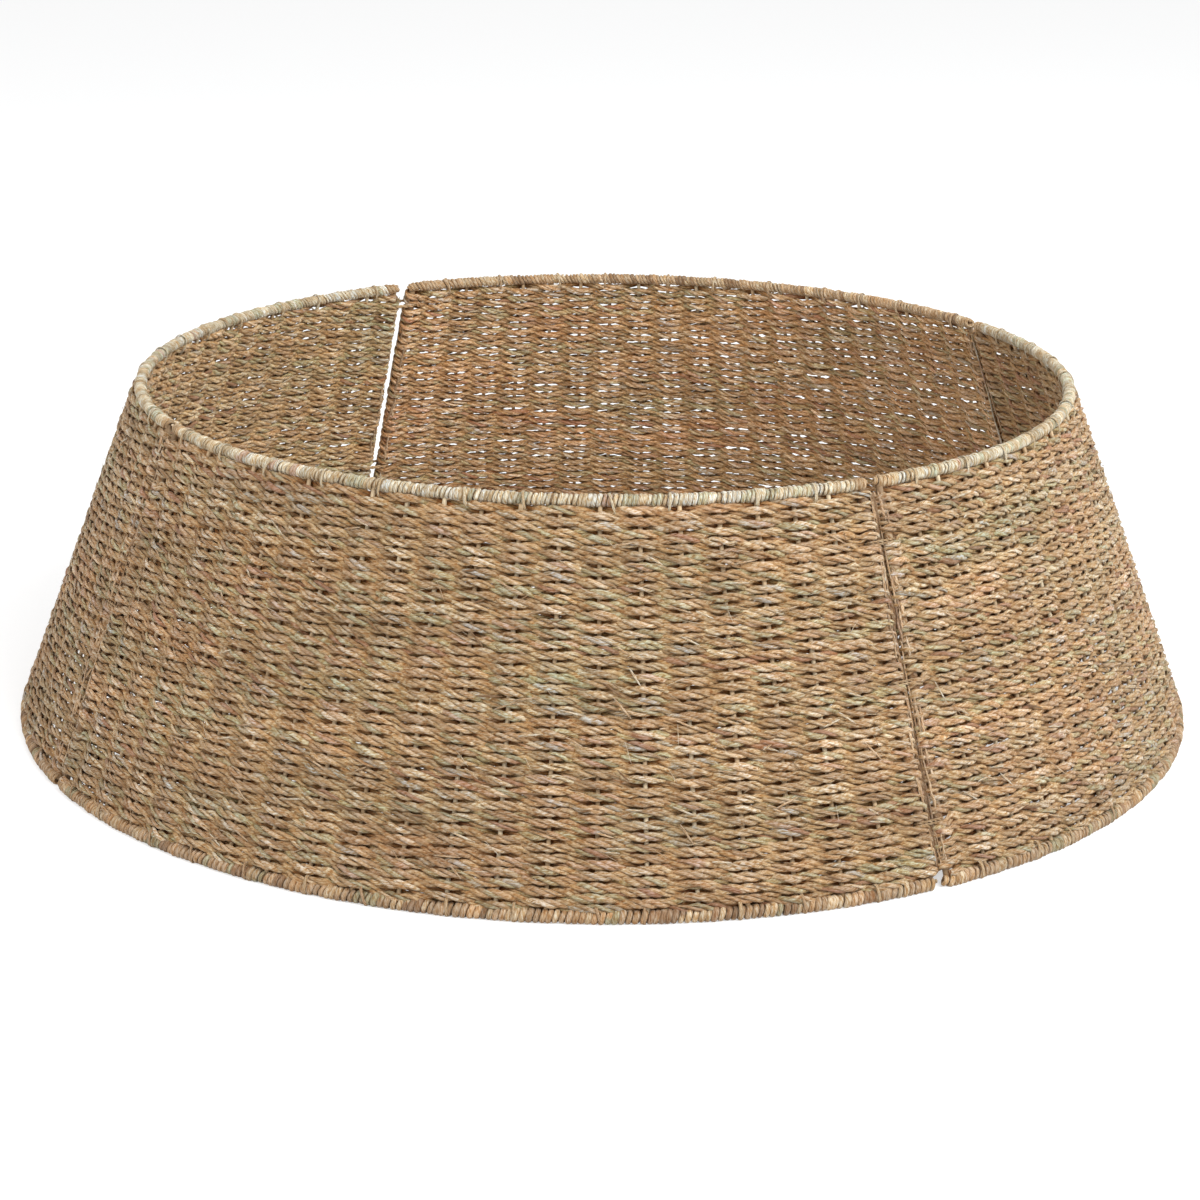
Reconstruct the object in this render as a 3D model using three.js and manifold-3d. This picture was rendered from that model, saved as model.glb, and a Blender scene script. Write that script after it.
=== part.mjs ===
// A christmas tree collar: four curved panels of woven seagrass, each on a welded wire frame,
// lashed edge to edge into a cone-shaped ring that is tied shut with cord at its fourth seam.
// Millimetres, +Z up, origin on the floor in the middle of the ring, front at -Y.
import * as THREE from "three";
import { mergeVertices } from "three/addons/utils/BufferGeometryUtils.js";
import Module from "manifold-3d";

const wasm = await Module();
wasm.setup();

// Overall size
const BASE_DIAMETER = 700;
const TOP_DIAMETER = 550;
const HEIGHT = 200;
const FIRST_SEAM_DEG = -60;

// Woven wall: rope passes on both sides of the stakes
const ROPE_DIAMETER = 3.3;
const HINGE_GAP = 2;
const CLOSING_GAP = 5;

// Welded wire frame
const ROD_DIAMETER = 4;
const STAKE_DIAMETER = 2.4;
const STAKE_INTERVALS = 21;

// Bound rims
const TOP_WRAP = 0.9;
const BOTTOM_WRAP = 1.3;
const RIM_OVERHANG = 3;
const FLOOR_CUT = 0.5;

// Cord lashings of the three hinge seams, by share of the slant height
const LASHING_CORD = 2.8;
const LASHING_SHARES = { lower: 0.15, middle: 0.5, upper: 0.85 };

// Cord ties of the closing seam, by share of the slant height
const TIE_CORD = 2.2;
const TIE_SHARES = { lower: 0.3, upper: 0.94 };

// Clearances and facets
const CLEARANCE = 0.3;
const SWING_CLEARANCE = 0.45;
const NOTCH_DEPTH_PER_LOOP = 1.6;
const ROD_SIDES = 6;
const STAKE_SIDES = 4;
const STAKES_PER_FACET = 2;
const EDGE_STEPS = 4;
const TURN_STEPS = 5;
const MERGE_TOLERANCE = 1e-4;

const SEAGRASS = { color: 0xa98a5e, roughness: 0.85, metalness: 0 };
const TOP_FIBRE = { color: 0xcfc09a, roughness: 0.8, metalness: 0 };
const BOTTOM_FIBRE = { color: 0x9c8461, roughness: 0.85, metalness: 0 };
const CORD = { color: 0x8f7448, roughness: 0.9, metalness: 0 };
const LACQUERED_WIRE = { color: 0xad9679, roughness: 0.55, metalness: 0.2 };

// The wall's middle runs from the bottom rod to the top rod, in (radius, height)
const rodRadius = ROD_DIAMETER / 2;
const stakeRadius = STAKE_DIAMETER / 2;
const wallHalf = stakeRadius + ROPE_DIAMETER;
const topRimRadius = rodRadius + CLEARANCE + TOP_WRAP;
const bottomRimRadius = rodRadius + CLEARANCE + BOTTOM_WRAP;
const bottomRod = new THREE.Vector2(BASE_DIAMETER / 2 - bottomRimRadius, bottomRimRadius - FLOOR_CUT);
const topRod = new THREE.Vector2(TOP_DIAMETER / 2 - topRimRadius, HEIGHT - topRimRadius);
const slantLength = bottomRod.distanceTo(topRod);
const slantDirection = topRod.clone().sub(bottomRod).normalize();
const wallNormal = new THREE.Vector2(slantDirection.y, -slantDirection.x);

// Seams, counter-clockwise; a panel runs from its own seam to the next panel's
const PANEL_NAMES = ["right", "rear", "left", "front"];
const seams = PANEL_NAMES.map((name, index) => {
  const closing = name === "left";
  return {
    angle: THREE.MathUtils.degToRad(FIRST_SEAM_DEG + (360 / PANEL_NAMES.length) * index),
    inset: wallHalf + (closing ? CLOSING_GAP : HINGE_GAP) / 2,
    shares: closing ? TIE_SHARES : LASHING_SHARES,
    cord: closing ? TIE_CORD : LASHING_CORD,
  };
});
const panels = PANEL_NAMES.map((name, index) => ({
  name,
  start: seams[index],
  end: seams[(index + 1) % seams.length],
  span: (2 * Math.PI) / PANEL_NAMES.length,
}));
const [rightSeam, rearSeam, closingSeam, leftSeam] = seams;

// A point of a panel: distance up the slant, share of the width, distance out of the wall's
// middle, and distance past that share along the width
function wallPoint(panel, along, share, out, past = 0) {
  const radius = bottomRod.x + slantDirection.x * along;
  const height = bottomRod.y + slantDirection.y * along;
  const first = panel.start.angle + Math.asin(panel.start.inset / radius);
  const last = panel.start.angle + panel.span - Math.asin(panel.end.inset / radius);
  const angle = first + (last - first) * share + past / radius;
  const reach = radius + wallNormal.x * out;
  return new THREE.Vector3(reach * Math.cos(angle), reach * Math.sin(angle), height + wallNormal.y * out);
}

// The stakes share the width evenly, and the wall's facets meet half way between stakes
const stakeShares = Array.from({ length: STAKE_INTERVALS - 1 }, (_, i) => (i + 1) / STAKE_INTERVALS);
const facetShares = [0];
for (let stake = STAKES_PER_FACET; stake < STAKE_INTERVALS; stake += STAKES_PER_FACET) {
  facetShares.push((stake - 0.5) / STAKE_INTERVALS);
}
facetShares.push(1);

// A point in the wall's middle, on the flat facet that holds that share
function facetPoint(panel, along, share) {
  const facet = Math.max(facetShares.findIndex((edge) => edge >= share), 1);
  const [from, to] = facetShares.slice(facet - 1);
  const near = wallPoint(panel, along, from, 0);
  return near.lerp(wallPoint(panel, along, to, 0), (share - from) / (to - from));
}

// Right-handed frame on a seam: x along the ring, y into the ring, z up the slant
function seamFrame(seam, along) {
  const bottomReach = Math.sqrt(bottomRod.x ** 2 - seam.inset ** 2);
  const topReach = Math.sqrt(topRod.x ** 2 - seam.inset ** 2);
  const outward = new THREE.Vector3(Math.cos(seam.angle), Math.sin(seam.angle), 0);
  const foot = outward.clone().multiplyScalar(bottomReach).setZ(bottomRod.y);
  const head = outward.clone().multiplyScalar(topReach).setZ(topRod.y);
  const z = head.clone().sub(foot).normalize();
  const x = new THREE.Vector3(-Math.sin(seam.angle), Math.cos(seam.angle), 0);
  const y = new THREE.Vector3().crossVectors(z, x);
  return new THREE.Matrix4().makeBasis(x, y, z).setPosition(foot.lerp(head, along / slantLength));
}

// A regular section with a flat, not a corner, on each axis
function section(radius, sides) {
  return Array.from({ length: sides }, (_, i) => {
    const angle = (2 * Math.PI * (i + 0.5)) / sides;
    return new THREE.Vector2(radius * Math.cos(angle), radius * Math.sin(angle));
  });
}

// A fan of triangles over a run of ring points
function fan(run) {
  return run.slice(2).map((point, i) => [run[0], run[i + 1], point]);
}

// A skin through rings of equal count, closed at both ends by the cap or back on itself
function loft(rings, cap, closed = false) {
  const count = rings[0].length;
  const indices = [];
  const bands = closed ? rings.length : rings.length - 1;
  for (let band = 0; band < bands; band++) {
    const here = band * count;
    const there = ((band + 1) % rings.length) * count;
    for (let i = 0; i < count; i++) {
      const next = (i + 1) % count;
      indices.push(here + i, here + next, there + next, here + i, there + next, there + i);
    }
  }
  const last = (rings.length - 1) * count;
  for (const [a, b, c] of closed ? [] : cap) {
    indices.push(c, b, a, last + a, last + b, last + c);
  }
  const geometry = new THREE.BufferGeometry().setFromPoints(rings.flat());
  geometry.setIndex(indices);
  return geometry;
}

// A round bar through points that lie square to one normal
function bar(points, normal, radius, sides, closed = false) {
  const outline = section(radius, sides);
  const rings = points.map((point, i) => {
    const before = closed ? points.at(i - 1) : points[Math.max(i - 1, 0)];
    const after = closed ? points[(i + 1) % points.length] : points[Math.min(i + 1, points.length - 1)];
    const forward = after.clone().sub(before).normalize();
    const side = new THREE.Vector3().crossVectors(forward, normal);
    return outline.map((p) => point.clone().addScaledVector(normal, p.x).addScaledVector(side, p.y));
  });
  return loft(rings, fan([...outline.keys()]), closed);
}

function toSolid(geometry) {
  const bare = new THREE.BufferGeometry();
  bare.setAttribute("position", geometry.getAttribute("position"));
  bare.setIndex(geometry.getIndex());
  const merged = mergeVertices(bare, MERGE_TOLERANCE);
  const vertProperties = new Float32Array(merged.getAttribute("position").array);
  const triVerts = new Uint32Array(merged.getIndex().array);
  return new wasm.Manifold(new wasm.Mesh({ numProp: 3, vertProperties, triVerts }));
}

function toGeometry(solid) {
  const mesh = solid.getMesh();
  const geometry = new THREE.BufferGeometry();
  geometry.setAttribute("position", new THREE.BufferAttribute(mesh.vertProperties, 3));
  geometry.setIndex(new THREE.BufferAttribute(mesh.triVerts, 1));
  return geometry;
}

// A straight wire up the slant at one share of the width
function upright(panel, share, radius, sides, overrun) {
  const foot = facetPoint(panel, 0, share);
  const head = facetPoint(panel, slantLength, share);
  const forward = head.clone().sub(foot).normalize();
  const sideways = new THREE.Vector3(-foot.y, foot.x, 0).normalize();
  const normal = sideways.cross(forward).normalize();
  foot.addScaledVector(forward, -overrun);
  head.addScaledVector(forward, overrun);
  return bar([foot, head], normal, radius, sides);
}

function rimRod(panel, along) {
  const outline = section(rodRadius, ROD_SIDES);
  const rings = facetShares.map((share) => outline.map((p) => wallPoint(panel, along + p.x, share, p.y)));
  return loft(rings, fan([...outline.keys()]));
}

// Welded frame: two rim rods, two side rods and the stakes
function frameGeometry(panel) {
  let frame = toSolid(rimRod(panel, 0)).add(toSolid(rimRod(panel, slantLength)));
  for (const share of [0, 1]) {
    frame = frame.add(toSolid(upright(panel, share, rodRadius, ROD_SIDES, 0)));
  }
  for (const share of stakeShares) {
    frame = frame.add(toSolid(upright(panel, share, stakeRadius, STAKE_SIDES, 0)));
  }
  return toGeometry(frame);
}

// Plan of the woven wall: outer face, round edge over one side rod, inner face, other edge
function wallPlan() {
  const plan = facetShares.map((share) => ({ share, out: wallHalf, past: 0 }));
  const steps = Array.from({ length: EDGE_STEPS - 1 }, (_, i) => (i + 1) / EDGE_STEPS);
  const round = (share, side) =>
    steps.map((step) => ({
      share,
      out: side * wallHalf * Math.cos(Math.PI * step),
      past: side * wallHalf * Math.sin(Math.PI * step),
    }));
  const back = facetShares.toReversed().map((share) => ({ share, out: -wallHalf, past: 0 }));
  return [...plan, ...round(1, 1), ...back, ...round(0, -1)];
}

// End face of the wall: a quad per facet and a fan over each round edge
function wallCap() {
  const facets = facetShares.length - 1;
  const inner = (facet) => 2 * facets + EDGE_STEPS - facet;
  const quads = facetShares.slice(1).flatMap((_, i) => fan([i, i + 1, inner(i + 1), inner(i)]));
  const edge = Array.from({ length: EDGE_STEPS + 1 }, (_, i) => facets + i);
  const otherEdge = Array.from({ length: EDGE_STEPS }, (_, i) => inner(0) + i);
  return [...quads, ...fan(edge), ...fan([...otherEdge, 0])];
}

// A slot through both woven edges of a seam, where a loop goes round the bare side rods
function seamNotch(seam, share) {
  const loopReach = rodRadius + SWING_CLEARANCE + seam.cord;
  const width = 2 * (seam.inset + NOTCH_DEPTH_PER_LOOP * loopReach);
  const depth = 4 * wallHalf;
  const notch = new THREE.BoxGeometry(width, depth, seam.cord + 2 * SWING_CLEARANCE);
  return notch.applyMatrix4(seamFrame(seam, share * slantLength));
}

function weaveGeometry(panel) {
  const plan = wallPlan();
  const ends = [rodRadius + CLEARANCE, slantLength - rodRadius - CLEARANCE];
  const rings = ends.map((along) => plan.map((p) => wallPoint(panel, along, p.share, p.out, p.past)));
  let wall = toSolid(loft(rings, wallCap()));
  const rodBore = rodRadius + CLEARANCE / Math.cos(Math.PI / ROD_SIDES);
  const stakeBore = stakeRadius + CLEARANCE / Math.cos(Math.PI / STAKE_SIDES);
  for (const share of [0, 1]) {
    wall = wall.subtract(toSolid(upright(panel, share, rodBore, ROD_SIDES, rodRadius)));
  }
  for (const share of stakeShares) {
    wall = wall.subtract(toSolid(upright(panel, share, stakeBore, STAKE_SIDES, rodRadius)));
  }
  for (const seam of [panel.start, panel.end]) {
    for (const share of Object.values(seam.shares)) {
      wall = wall.subtract(toSolid(seamNotch(seam, share)));
    }
  }
  return toGeometry(wall);
}

// A rim binding is a channel over the rim rod, open towards the wall so the stakes pass,
// and flat where it would reach below the floor
function bindingGeometry(panel, along, radius, openSide) {
  const bore = rodRadius + CLEARANCE / Math.cos(Math.PI / ROD_SIDES);
  const leg = rodRadius;
  const half = (size, steps) =>
    Array.from({ length: steps + 1 }, (_, i) => {
      const angle = Math.PI / 2 + (Math.PI * i) / steps;
      return new THREE.Vector2(size * Math.cos(angle), size * Math.sin(angle));
    });
  const tips = [radius, bore].map((size) => new THREE.Vector2(leg, -size));
  const backTips = [bore, radius].map((size) => new THREE.Vector2(leg, size));
  const inside = half(bore, ROD_SIDES / 2).reverse();
  const channel = [...half(radius, EDGE_STEPS), ...tips, ...inside, ...backTips];
  const turned = channel.map((p) => new THREE.Vector2(p.x * openSide, p.y));
  const outline = openSide > 0 ? turned : turned.reverse();
  const onRim = (share, past) =>
    outline.map((p) => {
      const point = wallPoint(panel, along + p.x, share, p.y, past);
      return point.setZ(Math.max(point.z, 0));
    });
  const rings = [
    onRim(0, -RIM_OVERHANG),
    ...facetShares.slice(1, -1).map((share) => onRim(share, 0)),
    onRim(1, RIM_OVERHANG),
  ];
  return loft(rings, THREE.ShapeUtils.triangulateShape(outline, []));
}

// Half a turn of cord round the side rod on one side of a seam
function halfTurn(side, inset, radius) {
  return Array.from({ length: TURN_STEPS + 1 }, (_, i) => {
    const angle = Math.PI * (i / TURN_STEPS - 0.5);
    const x = inset + radius * Math.cos(angle);
    return new THREE.Vector3(side * x, side * radius * Math.sin(angle), 0);
  });
}

// A lashing or tie is a loop of cord round both side rods, flat across its seam
function loopGeometry(seam, share) {
  const radius = rodRadius + SWING_CLEARANCE + seam.cord / 2;
  const path = [...halfTurn(1, seam.inset, radius), ...halfTurn(-1, seam.inset, radius)];
  const loop = bar(path, new THREE.Vector3(0, 0, 1), seam.cord / 2, ROD_SIDES, true);
  return loop.applyMatrix4(seamFrame(seam, share * slantLength));
}

const collar = new THREE.Group();

function addPiece(name, geometry, look) {
  const piece = new THREE.Mesh(geometry, new THREE.MeshStandardMaterial(look));
  piece.name = name;
  collar.add(piece);
}

for (const panel of panels) {
  addPiece(`${panel.name}_frame`, frameGeometry(panel), LACQUERED_WIRE);
  addPiece(`${panel.name}_weave`, weaveGeometry(panel), SEAGRASS);
  addPiece(`${panel.name}_top_binding`, bindingGeometry(panel, slantLength, topRimRadius, -1), TOP_FIBRE);
  addPiece(`${panel.name}_bottom_binding`, bindingGeometry(panel, 0, bottomRimRadius, 1), BOTTOM_FIBRE);
}

const hingeSeams = { front_right: rightSeam, right_rear: rearSeam, front_left: leftSeam };
for (const [name, seam] of Object.entries(hingeSeams)) {
  for (const [level, share] of Object.entries(LASHING_SHARES)) {
    addPiece(`${name}_${level}_lashing`, loopGeometry(seam, share), CORD);
  }
}
for (const [level, share] of Object.entries(TIE_SHARES)) {
  addPiece(`closing_${level}_tie`, loopGeometry(closingSeam, share), CORD);
}

export default collar;
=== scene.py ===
import math
from collections import namedtuple

import bpy
import numpy as np
from mathutils import Euler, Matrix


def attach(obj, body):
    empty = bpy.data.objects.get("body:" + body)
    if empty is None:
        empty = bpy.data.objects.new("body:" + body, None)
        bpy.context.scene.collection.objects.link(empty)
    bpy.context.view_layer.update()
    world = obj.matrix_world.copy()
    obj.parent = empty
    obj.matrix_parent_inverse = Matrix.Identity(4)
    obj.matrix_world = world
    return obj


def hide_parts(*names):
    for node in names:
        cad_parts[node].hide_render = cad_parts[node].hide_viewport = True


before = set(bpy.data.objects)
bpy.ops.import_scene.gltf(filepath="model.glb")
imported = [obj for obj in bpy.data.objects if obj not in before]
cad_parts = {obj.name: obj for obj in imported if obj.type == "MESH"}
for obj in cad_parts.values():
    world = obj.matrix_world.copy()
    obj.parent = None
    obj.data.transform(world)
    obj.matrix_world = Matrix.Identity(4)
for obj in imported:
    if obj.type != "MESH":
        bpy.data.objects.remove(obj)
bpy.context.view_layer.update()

MM = 0.001

# Sizes of the frame
BASE_RADIUS = 350 * MM
TOP_RADIUS = 275 * MM
HEIGHT = 200 * MM
FIRST_SEAM = math.radians(-60)
HINGE_INSET = 5.5 * MM
CLOSING_INSET = 7 * MM
ROD_RADIUS = 2 * MM
STAKE_RADIUS = 1.2 * MM
STAKE_INTERVALS = 21
TOP_RIM_RADIUS = 3.2 * MM
BOTTOM_RIM_RADIUS = 3.6 * MM
RIM_OVERHANG = 3 * MM
FLOOR_CUT = 0.5 * MM
LASHING_SHARES = {"lower": 0.15, "middle": 0.5, "upper": 0.85}
LASHING_CORD = 2.8 * MM
TIE_SHARES = {"lower": 0.3, "upper": 0.94}
TIE_CORD = 2.2 * MM

# The wall's middle runs from the bottom rod to the top rod, in (radius, height)
BOTTOM_ROD = np.array((BASE_RADIUS - BOTTOM_RIM_RADIUS, BOTTOM_RIM_RADIUS - FLOOR_CUT))
TOP_ROD = np.array((TOP_RADIUS - TOP_RIM_RADIUS, HEIGHT - TOP_RIM_RADIUS))
SLANT_LENGTH = float(np.linalg.norm(TOP_ROD - BOTTOM_ROD))
SLANT = (TOP_ROD - BOTTOM_ROD) / SLANT_LENGTH
NORMAL = np.array((SLANT[1], -SLANT[0]))

Seam = namedtuple("Seam", "name angle inset shares")
Panel = namedtuple("Panel", "name start end")

seams = [
    Seam("front_right", FIRST_SEAM, HINGE_INSET, LASHING_SHARES),
    Seam("right_rear", FIRST_SEAM + math.pi / 2, HINGE_INSET, LASHING_SHARES),
    Seam("closing", FIRST_SEAM + math.pi, CLOSING_INSET, TIE_SHARES),
    Seam("front_left", FIRST_SEAM + 3 * math.pi / 2, HINGE_INSET, LASHING_SHARES),
]
panels = [
    Panel(name, seams[i], seams[(i + 1) % len(seams)])
    for i, name in enumerate(("right", "rear", "left", "front"))
]


# Colours

# Name: colour, share of the blades
SEAGRASS = {
    "straw": ("c4a37e", 0.31),
    "tan": ("b4916e", 0.26),
    "honey": ("b9946c", 0.12),
    "light": ("d1b696", 0.10),
    "sage": ("b8a682", 0.07),
    "olive": ("aa9876", 0.05),
    "rose": ("bd997d", 0.03),
    "rust": ("a57a5f", 0.03),
    "grey": ("b8a692", 0.035),
}
TOP_FIBRE = {
    "cream": ("cebea0", 0.41),
    "straw": ("c2ab88", 0.25),
    "pale": ("d6cbb5", 0.17),
    "sage": ("b9b091", 0.13),
    "rose": ("c2a289", 0.04),
}
REAR_FIBRE = {
    "tan": ("c3a37e", 0.4),
    "straw": ("cdb28d", 0.3),
    "amber": ("bf9b73", 0.16),
    "brown": ("98795a", 0.14),
}
BOTTOM_FIBRE = {
    "tan": ("ae8f6e", 0.42),
    "straw": ("ba9f7c", 0.22),
    "olive": ("9f9170", 0.16),
    "amber": ("b48e66", 0.08),
    "brown": ("8f7054", 0.12),
}
STAKE_STRAW = {
    "straw": ("d2b58e", 0.6),
    "pale": ("decaa8", 0.3),
    "brown": ("b69872", 0.1),
}
ROD_STRAW = {
    "tan": ("9a7d5b", 0.6),
    "brown": ("84694b", 0.4),
}
CORD = {
    "jute": ("c0a079", 0.5),
    "tan": ("ae8e69", 0.5),
}
TIE = {
    "amber": ("dcb384", 0.5),
    "jute": ("cfab7e", 0.5),
}
EDGE = {
    "straw": ("c4a37e", 0.4),
    "tan": ("b4916e", 0.4),
    "light": ("d1b696", 0.1),
    "brown": ("a08064", 0.1),
}
# Dark browns of the seam's core and rod lining: partly their own colour, partly painted shade in the seam's
# gap
CORE_WITH_PAINTED_SHADE = {
    "brown": ("7f6145", 0.6),
    "tan": ("987856", 0.4),
}
LOOSE = {
    "cream": ("d8c3a4", 0.35),
    "straw": ("c6a580", 0.4),
    "brown": ("8c6846", 0.25),
}
BLADE_SPREAD = 0.12


def linear(code):
    """An sRGB colour code as linear red, green and blue."""
    value = np.array([int(code[i : i + 2], 16) for i in (0, 2, 4)]) / 255
    return np.where(value <= 0.04045, value / 12.92, ((value + 0.055) / 1.055) ** 2.4)


def palette_colours(palette):
    """A palette's colours and the share of each."""
    colours = np.array([linear(code) for code, _ in palette.values()])
    shares = np.array([share for _, share in palette.values()])
    return colours, shares / shares.sum()


def blade_colours(rng, palette, distance, lengths, spread=BLADE_SPREAD):
    """Colours along a strand: blades of random length, each with one colour of the palette."""
    colours, shares = palette_colours(palette)
    count = int(distance[-1] / lengths[0]) + 2
    ends = np.cumsum(rng.uniform(*lengths, count))
    blade = np.searchsorted(ends, distance)
    picks = colours[rng.choice(len(colours), count, p=shares)]
    tones = rng.uniform(1 - spread, 1 + spread, (count, 1))
    return (picks * tones)[blade]


# Meshes made of strands

def unit(vectors):
    return vectors / np.linalg.norm(vectors, axis=-1, keepdims=True)


def tube(path, across, wide, thick, sides, closed=False):
    """Rings of points round a path; thick lies along `across`, wide square to it."""
    if closed:
        ahead = unit(np.roll(path, -1, axis=0) - np.roll(path, 1, axis=0))
    else:
        ahead = unit(np.gradient(path, axis=0))
    side = unit(np.cross(ahead, across))
    up = np.cross(side, ahead)
    angle = 2 * math.pi * np.arange(sides) / sides
    thick = np.broadcast_to(thick, len(path))[:, None, None]
    wide = np.broadcast_to(wide, len(path))[:, None, None]
    flat = np.cos(angle)[None, :, None] * thick * up[:, None]
    return path[:, None] + flat + np.sin(angle)[None, :, None] * wide * side[:, None]


def distances(path):
    """Distance along a path at each of its points."""
    steps = np.linalg.norm(np.diff(path, axis=0), axis=1)
    return np.concatenate(([0.0], np.cumsum(steps)))


class Strands:
    """Collects tubes into one mesh, with the strand's own coordinates and a bake map of strips."""

    STRIP_MARGIN = 0.08

    def __init__(self):
        self.rings = []
        self.colours = []
        self.starts = []
        self.closed = []

    def add(self, rings, colours, start=0.0, closed=False):
        """A tube of rings; colours are one for all, one a ring or one a point."""
        self.rings.append(rings)
        if np.ndim(colours) < 3:
            colours = np.broadcast_to(colours, (len(rings), 3))[:, None]
        self.colours.append(np.broadcast_to(colours, rings.shape))
        self.starts.append(start)
        self.closed.append(closed)

    def build(self, name, material):
        corners, strand, bands, caps, girths = [], [], [], [], []
        base = 0
        band_count = 0
        for rings, start, closed in zip(self.rings, self.starts, self.closed):
            count, sides = rings.shape[:2]
            middle = rings.mean(axis=1)
            along = start + distances(np.vstack((middle, middle[:1])))
            here = np.arange(count if closed else count - 1)
            there = (here + 1) % count
            side = np.arange(sides)
            follow = (side + 1) % sides
            first = base + here[:, None] * sides
            second = base + there[:, None] * sides
            quads = np.stack(
                (first + side, first + follow, second + follow, second + side), axis=-1
            )
            corners.append(quads.reshape(-1, 4))
            near = np.broadcast_to(along[here][:, None], (len(here), sides))
            far = np.broadcast_to(along[here + 1][:, None], (len(here), sides))
            low = np.broadcast_to(side / sides, (len(here), sides))
            high = low + 1 / sides
            pairs = ((near, low), (near, high), (far, high), (far, low))
            places = np.stack([np.stack(pair, axis=-1) for pair in pairs], axis=2)
            strand.append(places.reshape(-1, 4, 2))
            bands.append(np.repeat(band_count + here, sides))
            girths.append(np.linalg.norm(np.diff(rings, axis=1), axis=-1).sum(axis=1).mean())
            if not closed:
                caps.append(base + np.arange(sides)[::-1])
                caps.append(base + (count - 1) * sides + np.arange(sides))
            base += count * sides
            band_count += len(here)
        strand = np.concatenate(strand)
        bake = self.strips(strand, np.concatenate(bands), float(np.mean(girths)))
        return self.mesh(name, material, np.concatenate(corners), caps, strand, bake)

    def strips(self, strand, band, girth):
        """The bake map: stretches of strand laid side by side."""
        count = band[-1] + 1
        length = float((strand[:, 2, 0] - strand[:, 0, 0]).mean()) * count
        rows = max(1, round(math.sqrt(length / girth)))
        per_row = math.ceil(count / rows)
        rows = math.ceil(count / per_row)
        u = (band % per_row)[:, None] + np.array((0, 0, 1, 1))
        v = self.STRIP_MARGIN + (1 - 2 * self.STRIP_MARGIN) * strand[:, :, 1]
        return np.stack((u / per_row, ((band // per_row)[:, None] + v) / rows), axis=-1)

    def mesh(self, name, material, corners, caps, strand, bake):
        points = np.concatenate([rings.reshape(-1, 3) for rings in self.rings])
        colours = np.concatenate([shades.reshape(-1, 3) for shades in self.colours])
        ends = np.concatenate(caps) if caps else np.empty(0, int)
        sizes = np.concatenate((np.full(len(corners), 4), [len(cap) for cap in caps])).astype(int)
        starts = np.concatenate(([0], np.cumsum(sizes)[:-1]))
        loops = np.concatenate((corners.ravel(), ends))
        made = bpy.data.meshes.new(name)
        made.vertices.add(len(points))
        made.loops.add(len(loops))
        made.polygons.add(len(sizes))
        made.vertices.foreach_set("co", points.astype(np.float32).ravel())
        made.loops.foreach_set("vertex_index", loops.astype(np.int32))
        made.polygons.foreach_set("loop_start", starts.astype(np.int32))
        made.update(calc_edges=True)
        # Each point's colour; on the rope it also carries painted shade, a painted highlight and painted
        # light inside
        shade = made.attributes.new("blade", "FLOAT_COLOR", "POINT")
        rgba = np.column_stack((colours, np.ones(len(colours))))
        shade.data.foreach_set("color", rgba.astype(np.float32).ravel())
        for label, quads in (("strand", strand), ("OFBake", bake)):
            layer = made.uv_layers.new(name=label)
            flat = np.concatenate((quads.reshape(-1, 2), np.tile(quads[-1, -1], (len(ends), 1))))
            layer.uv.foreach_set("vector", flat.astype(np.float32).ravel())
        made.shade_smooth()
        made.validate()
        made.materials.append(material)
        piece = bpy.data.objects.new(name, made)
        bpy.context.scene.collection.objects.link(piece)
        return piece


def dress(piece, panel):
    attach(piece, f"{panel.name}_panel")


# Places on the walls and seams

def ring_angle(panel, along, share, past):
    """Angle round the ring at a share of a panel's width, and a length past that."""
    radius = BOTTOM_ROD[0] + SLANT[0] * along
    first = panel.start.angle + np.arcsin(panel.start.inset / radius)
    last = panel.start.angle + math.pi / 2 - np.arcsin(panel.end.inset / radius)
    return first + (last - first) * share + past / radius


def wall_point(panel, along, share, out, past=0.0):
    """Points of a panel: up the slant, share of the width, out of the wall's middle, past the share."""
    angle = ring_angle(panel, along, share, past)
    reach = BOTTOM_ROD[0] + SLANT[0] * along + NORMAL[0] * out
    height = BOTTOM_ROD[1] + SLANT[1] * along + NORMAL[1] * out
    places = np.broadcast_arrays(reach * np.cos(angle), reach * np.sin(angle), height)
    return np.stack(places, axis=-1)


def wall_axes(panel, along, share, past=0.0):
    """Outward normal and slant direction of a panel at points."""
    angle = ring_angle(panel, along, share, past)
    turn = np.stack((np.cos(angle), np.sin(angle)), axis=-1)
    level = np.ones((len(angle), 1))
    normal = np.hstack((NORMAL[0] * turn, NORMAL[1] * level))
    return normal, np.hstack((SLANT[0] * turn, SLANT[1] * level))


def seam_frame(seam, share):
    """Origin and axes on a seam: along the ring, into the ring, up the slant."""
    outward = np.array((math.cos(seam.angle), math.sin(seam.angle), 0))
    foot = outward * math.sqrt(BOTTOM_ROD[0] ** 2 - seam.inset**2) + (0, 0, BOTTOM_ROD[1])
    head = outward * math.sqrt(TOP_ROD[0] ** 2 - seam.inset**2) + (0, 0, TOP_ROD[1])
    z = unit(head - foot)
    x = np.array((-math.sin(seam.angle), math.cos(seam.angle), 0))
    return foot + (head - foot) * share, np.array((x, np.cross(z, x), z))


# Smooth random values

# Knots of the patches up and across a panel, about five courses and three stakes apart
PATCH_KNOTS = (15, 9)
SHORT_OF_LAST = 1.01


def ease(value):
    """A smooth step from 0 to 1."""
    return value * value * (3 - 2 * value)


def wander(rng, count, spacing, size):
    """Smooth random values: knots every `spacing` points, eased between."""
    knots = rng.normal(0, size, count // spacing + 3)
    at = np.arange(count) / spacing
    low = at.astype(int)
    on = ease(at - low)
    return knots[low] * (1 - on) + knots[low + 1] * on


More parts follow.
